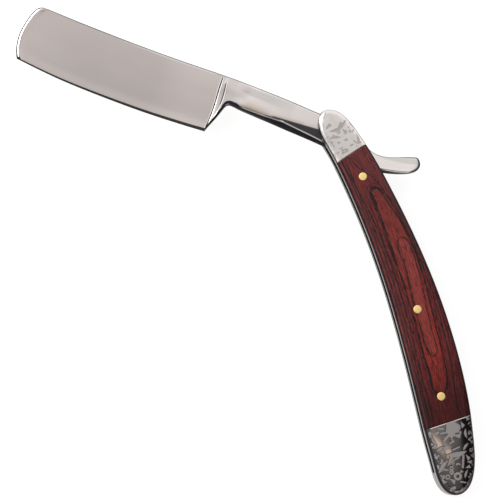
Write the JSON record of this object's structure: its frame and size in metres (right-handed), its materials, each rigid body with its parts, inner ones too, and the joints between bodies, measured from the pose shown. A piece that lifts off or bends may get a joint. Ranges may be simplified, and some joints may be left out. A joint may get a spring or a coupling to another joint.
{
  "type": "straight razor",
  "caption": "Folding straight razor: wide wedge-ground blade with tang and tail, pivoting in a bowed wood handle with metal liners, etched bolsters and brass rivets.",
  "frame": {"origin": "on the pivot axis, where it meets the flat outer face of the back pivot bolster, which is the plane the razor lies on", "axes": "+Z is the pivot axis, away from the resting plane; +X runs along the handle from the pivot to the butt; +Y points to the convex back of the handle, so the blade folds in from -Y"},
  "size_m": [0.2231, 0.1341, 0.0128],
  "materials": {
    "blade_steel": "polished, fine satin on the ground faces",
    "liner_steel": "satin",
    "etched_steel": "polished with a shallow etched pattern",
    "scale_wood": "polished dark red laminated wood with black grain",
    "pin_brass": "polished",
    "washer_brass": "satin",
    "pin_steel": "satin",
    "spacer_steel": "satin"
  },
  "bodies": {
    "handle": {"back_liner": "liner_steel", "front_liner": "liner_steel", "back_scale": "scale_wood", "front_scale": "scale_wood", "back_pivot_bolster": "etched_steel", "front_pivot_bolster": "etched_steel", "back_butt_bolster": "etched_steel", "front_butt_bolster": "etched_steel", "back_pivot_washer": "washer_brass", "front_pivot_washer": "washer_brass", "pivot_pin": "pin_steel", "butt_spacer": "spacer_steel", "butt_pin": "pin_steel", "front_scale_pin_upper": "pin_brass", "front_scale_pin_middle": "pin_brass", "front_scale_pin_lower": "pin_brass", "back_scale_pin_upper": "pin_brass", "back_scale_pin_middle": "pin_brass", "back_scale_pin_lower": "pin_brass"},
    "blade": {"blade": "blade_steel"}
  },
  "joints": [
    {"name": "blade_pivot", "type": "hinge", "parent": "handle", "child": "blade", "pos_m": [0, 0, 0.0064], "axis": [0, 0, 1], "range_deg": [-198, 125]}
  ]
}
